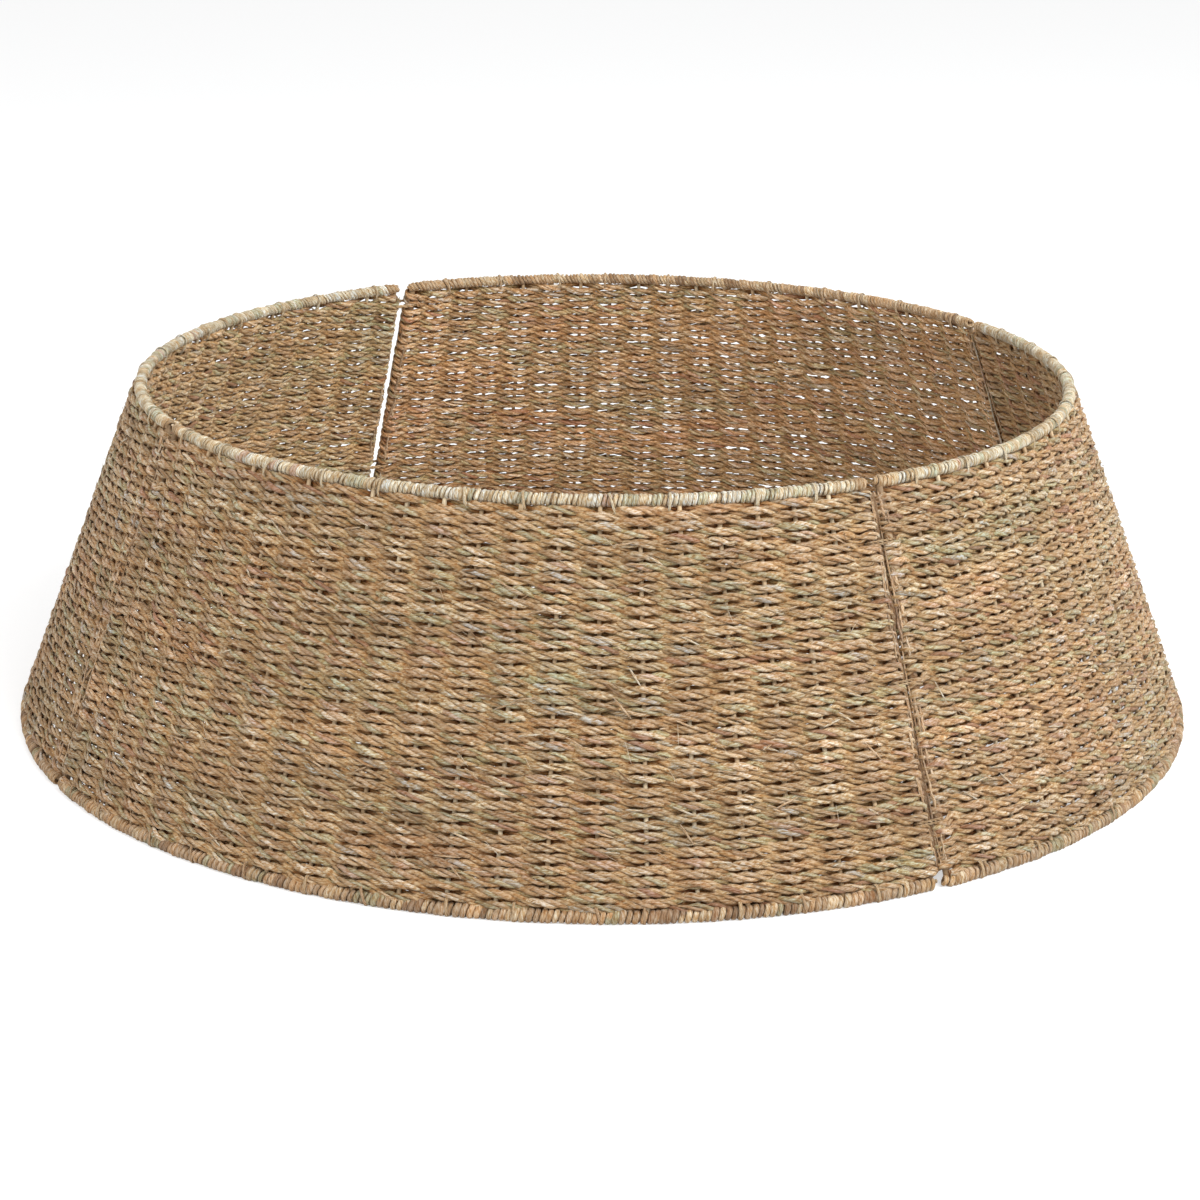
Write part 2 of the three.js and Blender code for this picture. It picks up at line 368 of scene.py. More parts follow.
def patches(rng, along, share, size):
    """Smooth random patches over a panel."""
    knots = rng.normal(0, size, PATCH_KNOTS)
    rows = np.clip(along / SLANT_LENGTH, 0, 1) * (PATCH_KNOTS[0] - SHORT_OF_LAST)
    columns = np.clip(share, 0, 1) * (PATCH_KNOTS[1] - SHORT_OF_LAST)
    row, column = rows.astype(int), columns.astype(int)
    up, on = ease(rows - row), ease(columns - column)
    low = knots[row, column] * (1 - on) + knots[row, column + 1] * on
    high = knots[row + 1, column] * (1 - on) + knots[row + 1, column + 1] * on
    return low * (1 - up) + high * up


# Materials

# Dark streaks are browner and light ones cream: powers and limits of the shade in red, green and blue
SHADE_POWERS = (0.55, 1.0, 1.75)
SHADE_LIMITS = (1.85, 1.62, 1.45)

# Noise that runs along the strand: streaks, and finer cracks between them
STREAKS_PER_METRE = 380.0
ROPE_STREAKS = 1.2
FINE_STREAKS = 2.0
CRACKS_PER_STREAK = 2.5
ROPE_TWIST = 45.0
NOISE_DETAIL = 3.0
NOISE_ROUGHNESS = 0.6

# Ramps: noise from, noise to, value from, value to
STREAK_RAMP = (0.3, 0.7, 0.33, 1.85)
CRACK_RAMP = (0.36, 0.48, 0.3, 1.0)
FIBRE_ROUGH_RAMP = (0.0, 1.0, 0.72, 0.46)
WIRE_WEAR_RAMP = (0.3, 0.7, 0.75, 1.15)
WIRE_ROUGH_RAMP = (0.0, 1.0, 0.5, 0.75)

RIDGE_STRENGTH = 0.8
RIDGE_DEPTH = 0.7 * MM
GLEAM = 0.6
GLEAM_TINT = (1, 0.84, 0.62, 1)
FUZZ = 0.15
FUZZ_TINT = (1, 0.85, 0.65, 1)
FUZZ_ROUGHNESS = 0.5
WEAR_PER_METRE = 220.0
WEAR_DETAIL = 4.0


def new_material(name):
    material = bpy.data.materials.new(name)
    material.use_nodes = True
    nodes = material.node_tree.nodes
    nodes.clear()
    shader = nodes.new("ShaderNodeBsdfPrincipled")
    output = nodes.new("ShaderNodeOutputMaterial")
    material.node_tree.links.new(shader.outputs["BSDF"], output.inputs["Surface"])
    return material, shader


def maths(tree, operation, *values):
    """A math node's output; each value is a number or another node's output."""
    node = tree.nodes.new("ShaderNodeMath")
    node.operation = operation
    for socket, value in zip(node.inputs, values):
        if isinstance(value, float):
            socket.default_value = value
        else:
            tree.links.new(value, socket)
    return node.outputs["Value"]


def ramp(tree, value, limits):
    """A value mapped from one range to another, and held at its ends."""
    node = tree.nodes.new("ShaderNodeMapRange")
    for name, limit in zip(("From Min", "From Max", "To Min", "To Max"), limits):
        node.inputs[name].default_value = limit
    tree.links.new(value, node.inputs["Value"])
    return node.outputs["Result"]


def streak_noise(tree, coords, scale):
    """Noise that is fine round the strand and drawn out along it."""
    stretch = tree.nodes.new("ShaderNodeVectorMath")
    stretch.operation = "MULTIPLY"
    stretch.inputs[1].default_value = (scale, scale, 1.0)
    tree.links.new(coords, stretch.inputs[0])
    texture = tree.nodes.new("ShaderNodeTexNoise")
    texture.inputs["Scale"].default_value = 1.0
    texture.inputs["Detail"].default_value = NOISE_DETAIL
    texture.inputs["Roughness"].default_value = NOISE_ROUGHNESS
    tree.links.new(stretch.outputs["Vector"], texture.inputs["Vector"])
    return texture.outputs["Fac"]


def strand_coords(tree, twist):
    """Places round and along a strand, twisted about it by so many turns a metre."""
    place = tree.nodes.new("ShaderNodeUVMap")
    place.uv_map = "strand"
    split = tree.nodes.new("ShaderNodeSeparateXYZ")
    tree.links.new(place.outputs["UV"], split.inputs["Vector"])
    spiral = maths(tree, "ADD", maths(tree, "MULTIPLY", split.outputs["X"], twist), split.outputs["Y"])
    angle = maths(tree, "MULTIPLY", spiral, 2 * math.pi)
    coords = tree.nodes.new("ShaderNodeCombineXYZ")
    tree.links.new(maths(tree, "COSINE", angle), coords.inputs["X"])
    tree.links.new(maths(tree, "SINE", angle), coords.inputs["Y"])
    tree.links.new(maths(tree, "MULTIPLY", split.outputs["X"], STREAKS_PER_METRE), coords.inputs["Z"])
    return coords.outputs["Vector"]


def fibre_material(name, streaks=ROPE_STREAKS, twist=ROPE_TWIST):
    """Dry grass blades: the blade's colour, streaked along the strand, with dark cracks and ridges."""
    material, shader = new_material(name)
    tree = material.node_tree
    nodes, links = tree.nodes, tree.links
    coords = strand_coords(tree, twist)
    streak = streak_noise(tree, coords, streaks)
    crack = streak_noise(tree, coords, streaks * CRACKS_PER_STREAK)
    shade = maths(tree, "MULTIPLY", ramp(tree, streak, STREAK_RAMP), ramp(tree, crack, CRACK_RAMP))
    depth = nodes.new("ShaderNodeCombineXYZ")
    for channel, power, limit in zip("XYZ", SHADE_POWERS, SHADE_LIMITS):
        limited = maths(tree, "MINIMUM", shade, limit)
        links.new(maths(tree, "POWER", limited, power), depth.inputs[channel])
    blade = nodes.new("ShaderNodeAttribute")
    blade.attribute_name = "blade"
    tint = nodes.new("ShaderNodeVectorMath")
    tint.operation = "MULTIPLY"
    links.new(blade.outputs["Color"], tint.inputs[0])
    links.new(depth.outputs["Vector"], tint.inputs[1])
    links.new(tint.outputs["Vector"], shader.inputs["Base Color"])
    links.new(ramp(tree, streak, FIBRE_ROUGH_RAMP), shader.inputs["Roughness"])
    ridge = nodes.new("ShaderNodeBump")
    ridge.inputs["Strength"].default_value = RIDGE_STRENGTH
    ridge.inputs["Distance"].default_value = RIDGE_DEPTH
    links.new(maths(tree, "ADD", streak, crack), ridge.inputs["Height"])
    links.new(ridge.outputs["Normal"], shader.inputs["Normal"])
    shader.inputs["Specular IOR Level"].default_value = GLEAM
    shader.inputs["Specular Tint"].default_value = GLEAM_TINT
    shader.inputs["Sheen Weight"].default_value = FUZZ
    shader.inputs["Sheen Tint"].default_value = FUZZ_TINT
    shader.inputs["Sheen Roughness"].default_value = FUZZ_ROUGHNESS
    return material


def wire_material(name):
    """Lacquered wire: the wire's colour with a patchy wear."""
    material, shader = new_material(name)
    tree = material.node_tree
    nodes, links = tree.nodes, tree.links
    colour = nodes.new("ShaderNodeAttribute")
    colour.attribute_name = "blade"
    place = nodes.new("ShaderNodeTexCoord")
    wear = nodes.new("ShaderNodeTexNoise")
    wear.inputs["Scale"].default_value = WEAR_PER_METRE
    wear.inputs["Detail"].default_value = WEAR_DETAIL
    links.new(place.outputs["Object"], wear.inputs["Vector"])
    tint = nodes.new("ShaderNodeVectorMath")
    tint.operation = "SCALE"
    links.new(colour.outputs["Color"], tint.inputs[0])
    links.new(ramp(tree, wear.outputs["Fac"], WIRE_WEAR_RAMP), tint.inputs["Scale"])
    links.new(tint.outputs["Vector"], shader.inputs["Base Color"])
    links.new(ramp(tree, wear.outputs["Fac"], WIRE_ROUGH_RAMP), shader.inputs["Roughness"])
    return material


# Weave

# Seagrass rope
COURSES = 72
BANDS = ("lower", "middle", "upper")
WEAVE_FOOT = 3.65 * MM
WEAVE_HEAD = 5.4 * MM
ROPE_LAY = 22 * MM
ROPE_DEPTH = 1.2 * MM
STEPS_PER_INTERVAL = 12
TURN_STEPS = 8
PLIES = 3
PLY_SIDES = 5
PLY_THICK = 0.82 * MM

# Half height and depth of the lay, half width of a ply: between stakes, less over one, share less pinched
LAY_TALL = (1.3 * MM, 0.06 * MM, 0.15)
LAY_DEEP = (0.92 * MM, 0.1 * MM, 0.0)
PLY_WIDE = (1.18 * MM, 0.05 * MM, 0.08)

# How far the rope's middle passes the stakes and the side rods, and how sharp its waves are
OVER_STAKE = 1.6 * MM
OVER_ROD = 1.1 * MM
PAST_ROD = 3.9 * MM
CREST = 0.96

# Courses part in notches for the loops of a seam, and their plies are pinched there
PAIR_PULL = 0.25 * MM
NOTCH_HALF = 1.6 * MM
NOTCH_FLAT = 3.2 * MM
NOTCH_FADE = 7 * MM
NOTCH_SPREAD = 14 * MM
PINCH_FLAT = 2.8 * MM
PINCH_FADE = 4.2 * MM
PINCH_SPREAD = 4 * MM

# How full each panel's rope lies; the rear one lets more light through
FULLNESS = {"right": 1.075, "rear": 0.99, "left": 1.075, "front": 1.075}

# Unevenness: points between knots, size
COURSE_SWAY = ((11, 0.25 * MM), (60, 0.28 * MM))
OUTWARD_SWAY = (9, 0.2 * MM)
LAY_SWAY = (40, 1.3)
PLY_SWAY = (12, 0.24)
PLY_SWELLS = ((6, 0.13), (26, 0.13))
PLY_LOOSENESS = (8, 0.14)
SWELL_LIMITS = (0.65, 1.4)

# Sizes of the patches
FULLNESS_PATCH = 0.03
TONE_PATCH = 0.05
RUDDY_PATCH = 0.036

# Patches of rope run from greenish to ruddy
RUDDY = np.array((1.0, -0.2, -0.6))

# Painted shade: the rope's faces towards the stakes are dark and brown. Painted highlight: its outermost
# blades are paler
PAINTED_CREVICE_SHADE = np.array((0.55, 0.29, 0.05))
PAINTED_SHADE_AT_SIDE = 0.3
PAINTED_HIGHLIGHT_TINT = np.array((1.1, 1.17, 1.45))

# The lowest courses are a little darker
FOOT_SHADE = 0.12
FOOT_SHARE = 0.35

# The rope is one tone outside; inside, each panel's tone is painted light and shade, lighter or darker as
# light falls on that panel's inner face
OUTSIDE = np.array((0.84, 0.815, 0.69))
# Painted light and shade: a tone for each panel's inner face
INSIDE_PAINTED_LIGHT = {
    "right": np.array((0.82, 0.74, 0.55)),
    "rear": np.array((1.17, 1.07, 0.86)),
    "left": np.array((1.02, 0.98, 0.78)),
    "front": np.array((1.0, 0.94, 0.75)),
}
TONE_DEPTH = 2 * MM
ROPE_BLADES = (20 * MM, 110 * MM)
ROPE_SPREAD = 0.17


def notch_shift(seam, at_start, level):
    """How far each course moves up or down at a side rod for the seam's loops, and how near it is."""
    course = np.arange(COURSES)
    free = course[2 - int(at_start) :: 2]
    shift = np.where((course % 2 == 0) != at_start, PAIR_PULL, -PAIR_PULL)
    close = np.zeros(COURSES)
    for share in seam.shares.values():
        middle = share * SLANT_LENGTH
        upper = free[np.argmin(np.abs((level[free - 1] + level[free]) / 2 - middle))]
        rise = max(0.0, middle + NOTCH_HALF - level[upper])
        drop = max(0.0, level[upper - 1] - (middle - NOTCH_HALF))
        above = course >= upper
        shift[above] += rise * np.exp(-(level[above] - level[upper]) / NOTCH_SPREAD)
        shift[~above] -= drop * np.exp(-(level[upper - 1] - level[~above]) / NOTCH_SPREAD)
        close = np.maximum(close, np.exp(-(((level - middle) / PINCH_SPREAD) ** 2)))
    return shift, close


def weft(panel, rng):
    """The rope's route through one panel: course by course, back and forth round the side rods."""
    pitch = (SLANT_LENGTH - WEAVE_FOOT - WEAVE_HEAD) / (COURSES - 1)
    level = WEAVE_FOOT + pitch * np.arange(COURSES)
    shifts, closes = zip(notch_shift(panel.start, True, level), notch_shift(panel.end, False, level))
    run = np.linspace(0, STAKE_INTERVALS, STAKE_INTERVALS * STEPS_PER_INTERVAL + 1)
    bend = np.linspace(0, math.pi, TURN_STEPS + 1)[1:-1]
    width = (BOTTOM_ROD[0] + TOP_ROD[0]) / 2 * math.pi / 2
    over_stake = STAKE_RADIUS + OVER_STAKE
    over_rod = ROD_RADIUS + OVER_ROD
    rows = []
    for c in range(COURSES):
        forward = c % 2 == 0
        x = run if forward else run[::-1]
        wave = np.arcsin(CREST * np.cos(math.pi * x)) / math.asin(CREST) * (-1) ** c
        last_gap = np.clip(1 - np.minimum(x, STAKE_INTERVALS - x), 0, 1)
        out = wave * (over_stake + last_gap * (over_rod - over_stake))
        to_rod = np.array((x, STAKE_INTERVALS - x)) / STAKE_INTERVALS * width
        fade = ease(np.clip((NOTCH_FADE - to_rod) / (NOTCH_FADE - NOTCH_FLAT), 0, 1))
        along = level[c] + fade[0] * shifts[0][c] + fade[1] * shifts[1][c]
        squeeze = np.clip((PINCH_FADE - to_rod) / (PINCH_FADE - PINCH_FLAT), 0, 1)
        pinch = squeeze[0] * closes[0][c] + squeeze[1] * closes[1][c]
        rows.append(np.column_stack((along, x, out, np.zeros(len(x)), np.abs(wave), pinch)))
        if c < COURSES - 1:
            end = 1 if forward else 0
            low, high = level[c : c + 2] + shifts[end][c : c + 2]
            rows.append(np.column_stack((
                low + (high - low) * (1 - np.cos(bend)) / 2,
                np.full(len(bend), x[-1]),
                over_rod * np.cos(bend) * np.sign(wave[-1]),
                PAST_ROD * np.sin(bend) * (1 if forward else -1),
                np.ones(len(bend)),
                np.full(len(bend), closes[end][c]),
            )))
    along, x, out, past, over, pinch = np.concatenate(rows).T
    for spacing, size in COURSE_SWAY:
        along = along + wander(rng, len(along), spacing, size)
    out = out + wander(rng, len(out), *OUTWARD_SWAY)
    return along, x / STAKE_INTERVALS, out, past, over, pinch


def rope_size(size, over, pinch):
    """A size of the rope along its route."""
    between, less_over, less_pinched = size
    return (between - less_over * over) * (1 - less_pinched * pinch)


def rope_painted_light_tone(panel, rings, path, normal, out):
    """Tone of the rope's points: outside or inside of the wall, with painted light and shade inside,
    painted shade towards the stakes and a painted highlight outermost.
    """
    lift = np.einsum("nsk,nk->ns", rings - path[:, None], normal)
    inner = np.clip(0.5 - (out[:, None] + lift) / (2 * TONE_DEPTH), 0, 1)
    # Inner faces take their panel's painted light and shade
    face = OUTSIDE + inner[..., None] * (INSIDE_PAINTED_LIGHT[panel.name] - OUTSIDE)
    covered = np.clip(np.abs(out) / (STAKE_RADIUS + OVER_STAKE), 0, 1)[:, None]
    inward = -lift * np.sign(out)[:, None]
    # Painted shade: darkens and browns the rope's faces towards the stakes
    painted_shade_mask = covered * np.clip(PAINTED_SHADE_AT_SIDE + (1 - PAINTED_SHADE_AT_SIDE) * inward / ROPE_DEPTH, 0, 1)
    # Painted highlight: pales the rope's outermost blades
    painted_highlight_mask = covered * np.clip(-inward / ROPE_DEPTH, 0, 1)
    return face * (1 - painted_shade_mask[..., None] * (1 - PAINTED_CREVICE_SHADE)) * (1 + painted_highlight_mask[..., None] * (PAINTED_HIGHLIGHT_TINT - 1))


def weave_pieces(panel, material, rng):
    """The panel's rope in three bands of courses."""
    along, share, out, past, over, pinch = weft(panel, rng)
    path = wall_point(panel, along, share, out, past)
    normal, up = wall_axes(panel, along, share, past)
    across = unit(np.cross(unit(np.gradient(path, axis=0)), up))
    distance = distances(path)
    count = len(path)
    phase = 2 * math.pi * distance / ROPE_LAY + wander(rng, count, *LAY_SWAY)
    fullness = FULLNESS[panel.name] + patches(rng, along, share, FULLNESS_PATCH)
    tall = fullness * rope_size(LAY_TALL, over, pinch)
    deep = rope_size(LAY_DEEP, over, pinch)
    wide = fullness * rope_size(PLY_WIDE, over, pinch)
    tint = 1 + patches(rng, along, share, TONE_PATCH)[:, None]
    tint = tint + patches(rng, along, share, RUDDY_PATCH)[:, None] * RUDDY
    tint = tint * (1 - FOOT_SHADE * np.clip(1 - along / (FOOT_SHARE * SLANT_LENGTH), 0, 1))[:, None]
    plies = []
    for ply in range(PLIES):
        turn = phase + 2 * math.pi * ply / PLIES + wander(rng, count, *PLY_SWAY)
        swell = np.clip(1 + sum(wander(rng, count, *pair) for pair in PLY_SWELLS), *SWELL_LIMITS)
        rise = tall * (1 + wander(rng, count, *PLY_LOOSENESS)) * np.cos(turn)
        centre = path + rise[:, None] * up + (deep * np.sin(turn))[:, None] * across
        rings = tube(centre, across, wide * swell, PLY_THICK * swell, PLY_SIDES)
        blades = tint * blade_colours(rng, SEAGRASS, distance, ROPE_BLADES, ROPE_SPREAD)
        # Blade colours times the rope's tone, which holds painted shade, a painted highlight and painted
        # light inside
        plies.append((rings, blades[:, None] * rope_painted_light_tone(panel, rings, path, normal, out)))
    stride = STAKE_INTERVALS * STEPS_PER_INTERVAL + TURN_STEPS
    cuts = [round(i * COURSES / len(BANDS)) * stride for i in range(len(BANDS))] + [count - 1]
    for band, first, last in zip(BANDS, cuts, cuts[1:]):
        strands = Strands()
        for rings, colours in plies:
            strands.add(rings[first : last + 1], colours[first : last + 1], distance[first])
        piece = strands.build(f"{panel.name}_{band}_weave", material)
        dress(piece, panel)
        if band == "middle":
            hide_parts(f"{panel.name}_weave")


# Loose fibres and blade ends

Fibre = namedtuple("Fibre", "longest lean rise wide thick")

BLADE_END = Fibre(14 * MM, 0.3, 0.7 * MM, 0.6 * MM, 0.3 * MM)
FINE_FIBRE = Fibre(12 * MM, 0.5, 2.4 * MM, 0.2 * MM, 0.16 * MM)
LOOSE_FIBRES = 700
LOOSE_POINTS = 5
LOOSE_SIDES = 4
SHORTEST_FIBRE = 4 * MM
BLADE_END_SHARE = 0.4
OUTSIDE_SHARE = 0.6
FIBRE_DROOP = -0.2
FIBRE_LIFT = 3.75 * MM
FIBRE_CURL = 1.6
FIBRE_HEIGHTS = (0.05, 0.95)
FIBRE_SHARES = (0.02, 0.98)
FIBRE_RISES = (0.2, 1)
FIBRE_TONES = (0.8, 1.05)

# Which end, or the middle, lies on the weave
FIBRE_SEATS = (0, 0.5, 1)

# A fibre's width is part of a sine wave: where it starts, and how much of the wave it takes
TAPER_START = 0.12
TAPER_SPAN = 0.76


def loose_piece(panel, material, rng):
    """Fibres and blade ends that lie on the weave or stand off it."""
    strands = Strands()
    step = np.linspace(0, 1, LOOSE_POINTS)
    taper = np.sin(math.pi * (TAPER_START + TAPER_SPAN * step))
    tints, shares = palette_colours(LOOSE)
    for _ in range(LOOSE_FIBRES):
        fibre = BLADE_END if rng.random() < BLADE_END_SHARE else FINE_FIBRE
        side = 1 if rng.random() < OUTSIDE_SHARE else -1
        length = rng.uniform(SHORTEST_FIBRE, fibre.longest)
        heading = rng.normal(FIBRE_DROOP, fibre.lean)
        along = rng.uniform(*FIBRE_HEIGHTS) * SLANT_LENGTH + length * math.sin(heading) * step
        past = length * math.cos(heading) * step
        share = np.full(len(step), rng.uniform(*FIBRE_SHARES))
        rise = fibre.rise * rng.uniform(*FIBRE_RISES) * rng.permutation((0, 1))[0]
        lift = side * (FIBRE_LIFT + rise * np.abs(step - rng.choice(FIBRE_SEATS)) ** FIBRE_CURL)
        path = wall_point(panel, along, share, lift, past)
        normal, _ = wall_axes(panel, along, share, past)
        tint = tints[rng.choice(len(tints), p=shares)]
        rings = tube(path, normal, fibre.wide * taper, fibre.thick * taper, LOOSE_SIDES)
        strands.add(rings, tint * rng.uniform(*FIBRE_TONES))
    dress(strands.build(f"{panel.name}_loose_fibres", material), panel)


# Wire frame

WIRE_SIDES = 10
RIM_ROD_POINTS = 85
UPRIGHT_POINTS = 24
WIRE_BLADES = (50 * MM, 200 * MM)


def frame_piece(panel, material, rng):
    """Rim rods, side rods and stakes."""
    wires = Strands()
    share = np.linspace(0, 1, RIM_ROD_POINTS)
    for along in (0.0, SLANT_LENGTH):
        path = wall_point(panel, along, share, 0.0)
        normal, _ = wall_axes(panel, along, share)
        colours = blade_colours(rng, ROD_STRAW, distances(path), WIRE_BLADES)
        wires.add(tube(path, normal, ROD_RADIUS, ROD_RADIUS, WIRE_SIDES), colours)
    for stake in range(STAKE_INTERVALS + 1):
        if stake in (0, STAKE_INTERVALS):
            upright(wires, panel, stake / STAKE_INTERVALS, ROD_RADIUS, ROD_STRAW, rng)
        else:
            upright(wires, panel, stake / STAKE_INTERVALS, STAKE_RADIUS, STAKE_STRAW, rng)
    piece = wires.build(f"{panel.name}_wires", material)
    dress(piece, panel)
    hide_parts(f"{panel.name}_frame")


def upright(wires, panel, share, radius, palette, rng):
    """A side rod or a stake."""
    along = np.linspace(0, SLANT_LENGTH, UPRIGHT_POINTS)
    path = wall_point(panel, along, share, 0.0)
    normal, _ = wall_axes(panel, along, np.full(len(along), share))
    colours = blade_colours(rng, palette, along, WIRE_BLADES)
    wires.add(tube(path, normal, radius, radius, WIRE_SIDES), colours)


# Bound rims

TOP_PITCH = 2.5 * MM
BOTTOM_PITCH = 3.3 * MM
RIM_STEPS = 14
RIM_SIDES = 8
RIM_FRAY = 6 * MM
RIM_BLADES = (10 * MM, 45 * MM)
FRAYED_BLADES = (10 * MM, 40 * MM)
RIM_SPREAD = 0.2

# A turn's sway, slant and half width as shares of the pitch, its thickness as one of the room round the rod
TURN_SWAY = 0.14
TURN_SLANT = 0.45
TURN_WIDE = 0.475
TURN_THICK = 1.35
TURN_UNEVEN = 0.18 * MM
TURN_SWELL = 0.16
TURN_SWELL_LIMITS = (0.7, 1.3)

# The binding's ends are rounded down to a share of its radius
RIM_ROUND = 4 * MM
RIM_TIP = 0.3

# Strands keep off the floor
FLOOR_GAP = 0.1 * MM

# Stitches of flat blade round a rim and the course next to it
STITCH_SPACING = 37 * MM
STITCH_SHIFT = 4 * MM
STITCH_POINTS = 28
STITCH_SIDES = 6
STITCH_REACH = (4.6 * MM, 5.3 * MM)
STITCH_SEAT = 3.6 * MM
STITCH_OUT = 4.05 * MM
STITCH_NARROWING = 0.35 * MM
STITCH_SQUARENESS = 0.6
STITCH_LEAN = 0.7 * MM
STITCH_WIDE = (0.7 * MM, 1.1 * MM)
STITCH_THICK = 0.32 * MM
STITCH_FLOOR_GAP = 0.4 * MM
STITCH_COLOURS = 2


def rim_piece(panel, name, along, radius, pitch, palette, material, rng):
    """A strand wound round a rim rod, with stitches over the nearest courses."""
    length = (BOTTOM_ROD[0] + SLANT[0] * along) * math.pi / 2 - panel.start.inset - panel.end.inset
    turns = round((length + 2 * RIM_OVERHANG) / pitch)
    count = turns * RIM_STEPS + 1
    place = np.linspace(-RIM_OVERHANG, length + RIM_OVERHANG, count)
    angle = 2 * math.pi * np.arange(count) / RIM_STEPS
    sway = wander(rng, count, RIM_STEPS * 2, TURN_SWAY * pitch)
    place = place + sway + TURN_SLANT * pitch * np.cos(angle)
    share = np.clip(place / length, 0, 1)
    past = place - share * length
    half = (radius - ROD_RADIUS) / 2
    to_end = np.clip((np.minimum(place, length - place) + RIM_OVERHANG) / RIM_ROUND, 0, 1)
    full = ROD_RADIUS + half + wander(rng, count, RIM_STEPS, TURN_UNEVEN)
    reach = full * (RIM_TIP + (1 - RIM_TIP) * np.sqrt(to_end * (2 - to_end)))
    path = wall_point(panel, along + reach * np.cos(angle), share, reach * np.sin(angle), past)
    middle = wall_point(panel, along, share, 0.0, past)
    across = unit(path - middle)
    swell = np.clip(1 + wander(rng, count, RIM_STEPS, TURN_SWELL), *TURN_SWELL_LIMITS)
    rings = tube(path, across, pitch * TURN_WIDE * swell, half * TURN_THICK * swell, RIM_SIDES)
    rings[..., 2] = np.maximum(rings[..., 2], FLOOR_GAP)
    distance = distances(path)
    colours = blade_colours(rng, palette, distance, RIM_BLADES, RIM_SPREAD)
    frayed = np.minimum(place, length - place) < RIM_FRAY
    colours[frayed] = blade_colours(rng, CORD, distance, FRAYED_BLADES, RIM_SPREAD)[frayed]
    strands = Strands()
    strands.add(rings, colours)
    inward = -1 if along > 0 else 1
    for spot in np.arange(0.5, length / STITCH_SPACING) * STITCH_SPACING:
        stitch(strands, panel, along, inward, (spot + rng.normal(0, STITCH_SHIFT)) / length, palette, rng)
    piece = strands.build(f"{panel.name}_{name}", material)
    dress(piece, panel)
    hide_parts(f"{panel.name}_{name}")


def stitch(strands, panel, along, inward, share, palette, rng):
    """A flat blade drawn tight round a rim and the course next to it."""
    angle = 2 * math.pi * np.arange(STITCH_POINTS) / STITCH_POINTS
    reach = rng.uniform(*STITCH_REACH)
    middle = along + inward * (reach - STITCH_SEAT)
    up = middle + reach * np.cos(angle)
    half = STITCH_OUT + inward * STITCH_NARROWING * np.cos(angle)
    out = half * np.sign(np.sin(angle)) * np.abs(np.sin(angle)) ** STITCH_SQUARENESS
    lean = rng.normal(0, STITCH_LEAN) * np.cos(angle)
    path = wall_point(panel, up, np.full(STITCH_POINTS, share), out, lean)
    path[:, 2] = np.maximum(path[:, 2], STITCH_FLOOR_GAP)
    hub = wall_point(panel, middle, share, 0.0)
    wide = rng.uniform(*STITCH_WIDE)
    rings = tube(path, unit(path - hub), wide, STITCH_THICK, STITCH_SIDES, closed=True)
    rings[..., 2] = np.maximum(rings[..., 2], FLOOR_GAP)
    colours, _ = palette_colours(palette)
    strands.add(rings, colours[rng.integers(STITCH_COLOURS)], closed=True)


# Lashings and ties

LOOP_POINTS = 96
LOOP_ARC_POINTS = 17
LOOP_CLEARANCE = 0.25 * MM
CORD_SIDES = 6
CORD_BLADES = (10 * MM, 30 * MM)
LASHING_TURNS = 2
TIE_TURNS = 1

# In cord thicknesses: its lay, the place of its two plies, and their half height and half depth
CORD_LAY = 4
PLY_OFFSET = 1 / 4
PLY_HALF_HEIGHT = 1 / 3.4
PLY_HALF_DEPTH = 1 / 3.6


def round_rods(inset, radius):
    """Evenly spaced points of a loop round both side rods of a seam, in the seam's plane."""
    angle = np.linspace(-math.pi / 2, math.pi / 2, LOOP_ARC_POINTS)
    turn = np.column_stack((inset + radius * np.cos(angle), radius * np.sin(angle), 0 * angle))
    loop = np.vstack((turn, turn * (-1, -1, 1), turn[:1]))
    spots = distances(loop)
    even = np.linspace(0, spots[-1], LOOP_POINTS + 1)[:-1]
    return even, np.column_stack([np.interp(even, spots, loop[:, i]) for i in range(3)])


def loop_piece(seam, level, kind, body, cord, turns, palette, material, rng):
    """Turns of two-ply cord round the side rods of a seam, side by side."""
    origin, axes = seam_frame(seam, seam.shares[level])
    size = cord / turns
    even, path = round_rods(seam.inset, ROD_RADIUS + LOOP_CLEARANCE + size / 2)
    ahead = unit(np.roll(path, -1, axis=0) - np.roll(path, 1, axis=0))
    across = np.cross(ahead, (0, 0, 1))
    twist = 2 * math.pi * round(even[-1] / (CORD_LAY * size)) * np.arange(len(path)) / len(path)
    high, deep = size * PLY_HALF_HEIGHT, size * PLY_HALF_DEPTH
    strands = Strands()
    for number in range(turns):
        lift = (number - (turns - 1) / 2) * size
        for start in (0, math.pi):
            spin = (twist + start)[:, None]
            offset = size * PLY_OFFSET * (np.cos(spin) * (0, 0, 1) + np.sin(spin) * across)
            centre = path + (0, 0, lift) + offset
            rings = tube(centre @ axes + origin, across @ axes, high, deep, CORD_SIDES, closed=True)
            strands.add(rings, blade_colours(rng, palette, even, CORD_BLADES), closed=True)
    name = f"{seam.name}_{level}_{kind}"
    piece = strands.build(f"{name}_cord", material)
    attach(piece, body)
    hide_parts(name)


# Edges of the panels

EDGE_FOOT = 6 * MM
EDGE_HEAD = 4 * MM

# A brown lining on the side rods, under the rope's turns; its dark brown is partly painted shade in the
# seam's gap
LINING_RADIUS = 3 * MM
LINING_POINTS = 60
LINING_SIDES = 10
LINING_SWELL = (4, 0.1)
LINING_SWELL_LIMITS = (0.8, 1.2)
LINING_BLADES = (10 * MM, 50 * MM)
LINING_SPREAD = 0.16

